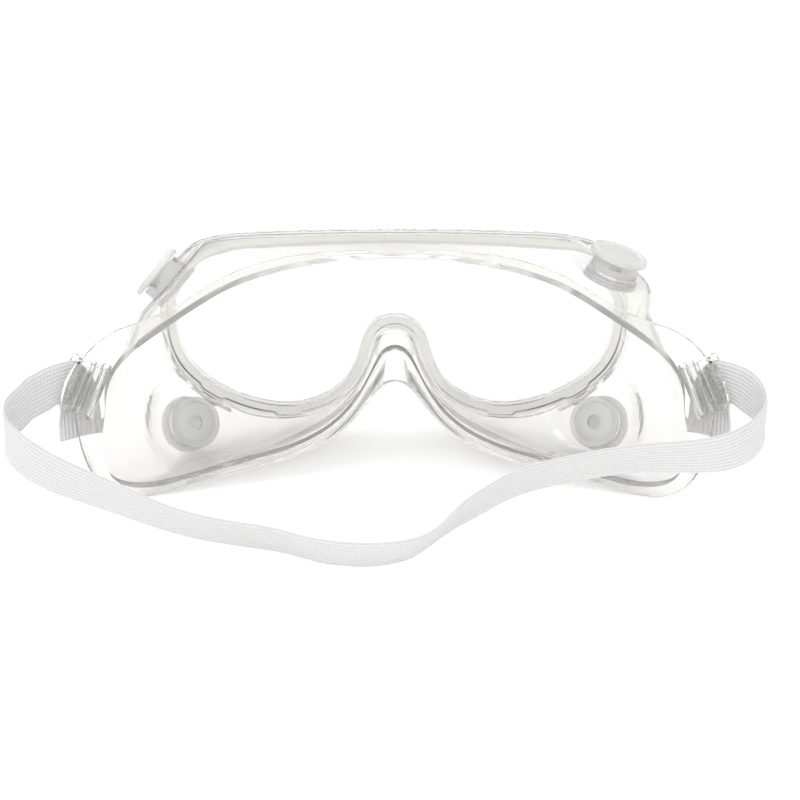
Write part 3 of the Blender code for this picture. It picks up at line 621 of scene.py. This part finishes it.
ends = [band_end(-1), band_end(1)]
rows = [(*(np.array(p) * MM), math.radians(a), math.radians(b)) for p, a, b in BAND_ROUTE]
rows = [(*ends[0][0].mean(axis=0), 0.0, -RAIL_TILT), *rows, (*ends[1][0].mean(axis=0), 0.0, RAIL_TILT)]
line = open_curve(rows, 10)
for _ in range(14):
    line[1:-1] = (line[:-2] + 2 * line[1:-1] + line[2:]) / 4
middle, lean, slant = line[:, :3], line[:, 3:4], line[:, 4:5]
along = unit(np.gradient(middle, axis=0))
upright = unit(np.array([0, 0, 1.0]) - along[:, 2:3] * along)
aside = np.cross(along, upright)
wide = upright * np.cos(lean) + aside * np.sin(lean)
wide = wide * np.cos(slant) + along * np.sin(slant)
across = np.linspace(-BAND_WIDTH / 2, BAND_WIDTH / 2, BAND_COLUMNS)
body = middle[:, None] + wide[:, None] * across[:, None]
whole = np.concatenate([ends[0][::-1], body[1:-1], ends[1]])
run = np.concatenate([[0], np.cumsum(np.linalg.norm(np.diff(whole.mean(axis=1), axis=0), axis=1))])
face_way = unit(np.cross(np.gradient(whole, axis=0), np.gradient(whole, axis=1)))
cross = np.linspace(-1, 1, BAND_COLUMNS)
swell = 0.6 * MM * np.sqrt(np.clip(1 - np.abs(cross) ** 9, 0.06, 1))
top = whole + face_way * swell[:, None]
bottom = (whole - face_way * swell[:, None])[:, ::-1]
rings = np.concatenate([top, bottom], axis=1)
cross_all = np.concatenate([(cross + 1) / 2, ((cross + 1) / 2)[::-1]])

elastic = bpy.data.materials.new("woven_elastic")
elastic.use_nodes = True
nodes, links = elastic.node_tree.nodes, elastic.node_tree.links
shader = nodes["Principled BSDF"]
shader.inputs["Roughness"].default_value = 0.85
shader.inputs["Sheen Weight"].default_value = 0.25
shader.inputs["Specular IOR Level"].default_value = 0.25


def math_node(operation, a, b=None, c=None):
    made = nodes.new("ShaderNodeMath")
    made.operation = operation
    for slot_number, value in enumerate((a, b, c)):
        if value is None:
            continue
        if isinstance(value, (int, float)):
            made.inputs[slot_number].default_value = value
        else:
            links.new(value, made.inputs[slot_number])
    return made.outputs[0]


weave = nodes.new("ShaderNodeUVMap")
weave.uv_map = "weave"
split = nodes.new("ShaderNodeSeparateXYZ")
links.new(weave.outputs[0], split.inputs[0])
u_across, v_along = split.outputs["X"], split.outputs["Y"]
rib = math_node("SINE", math_node("MULTIPLY", u_across, 2 * math.pi * 11))
rib = math_node("MULTIPLY_ADD", rib, 0.5, 0.5)
zigzag = math_node("PINGPONG", math_node("MULTIPLY", u_across, 11.0), 0.5)
stitch = math_node("ADD", math_node("MULTIPLY", v_along, 1.0 / (0.9 * MM)), zigzag)
stitch = math_node("SINE", math_node("MULTIPLY", stitch, 2 * math.pi))
stitch = math_node("MULTIPLY_ADD", stitch, 0.5, 0.5)
height = math_node("ADD", math_node("MULTIPLY", rib, 0.75), math_node("MULTIPLY", stitch, 0.25))
bump = nodes.new("ShaderNodeBump")
bump.inputs["Strength"].default_value = 0.7
bump.inputs["Distance"].default_value = 0.0004
links.new(height, bump.inputs["Height"])
links.new(bump.outputs["Normal"], shader.inputs["Normal"])
# Painted shade: the elastic's colour follows the rib and stitch height, darker grey (0.66) in the grooves and
# between stitches and lighter (0.83) on the rib tops.
groove_shade_mix = nodes.new("ShaderNodeMix")
groove_shade_mix.data_type = "RGBA"
groove_shade_mix.inputs[6].default_value = (0.66, 0.66, 0.663, 1)
groove_shade_mix.inputs[7].default_value = (0.83, 0.83, 0.833, 1)
links.new(height, groove_shade_mix.inputs[0])
links.new(groove_shade_mix.outputs[2], shader.inputs["Base Color"])

half_way = int(np.argmin(np.abs(whole.mean(axis=1)[len(ends[0]):-len(ends[1]), 0]))) + len(ends[0])
for name, low, high in (("left", 0, half_way), ("right", half_way, len(rings) - 1)):
    bm = bmesh.new()
    weave_layer = bm.loops.layers.uv.new("weave")
    grid = [[bm.verts.new(Vector(p) + SHIFT) for p in ring] for ring in rings[low:high + 1]]
    count = len(grid[0])
    for r in range(len(grid) - 1):
        for i in range(count):
            j = (i + 1) % count
            face = bm.faces.new((grid[r][i], grid[r][j], grid[r + 1][j], grid[r + 1][i]))
            for loop, (rr, ii) in zip(face.loops, ((r, i), (r, j), (r + 1, j), (r + 1, i))):
                loop[weave_layer].uv = (cross_all[ii], run[low + rr])
    for row in (grid[0], grid[-1]):
        for i in range(BAND_COLUMNS - 1):
            bm.faces.new((row[i], row[i + 1], row[-i - 2], row[-i - 1]))
    bmesh.ops.recalc_face_normals(bm, faces=bm.faces)
    mesh = bpy.data.meshes.new(f"headband_{name}")
    bm.to_mesh(mesh)
    bm.free()
    mesh.shade_smooth()
    mesh.materials.append(elastic)
    half = bpy.data.objects.new(f"headband_{name}", mesh)
    bpy.context.scene.collection.objects.link(half)
    half.data.set_sharp_from_angle(angle=math.radians(60))
    side = -1 if name == "left" else 1
    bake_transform(half)
    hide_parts("headband")

low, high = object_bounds()
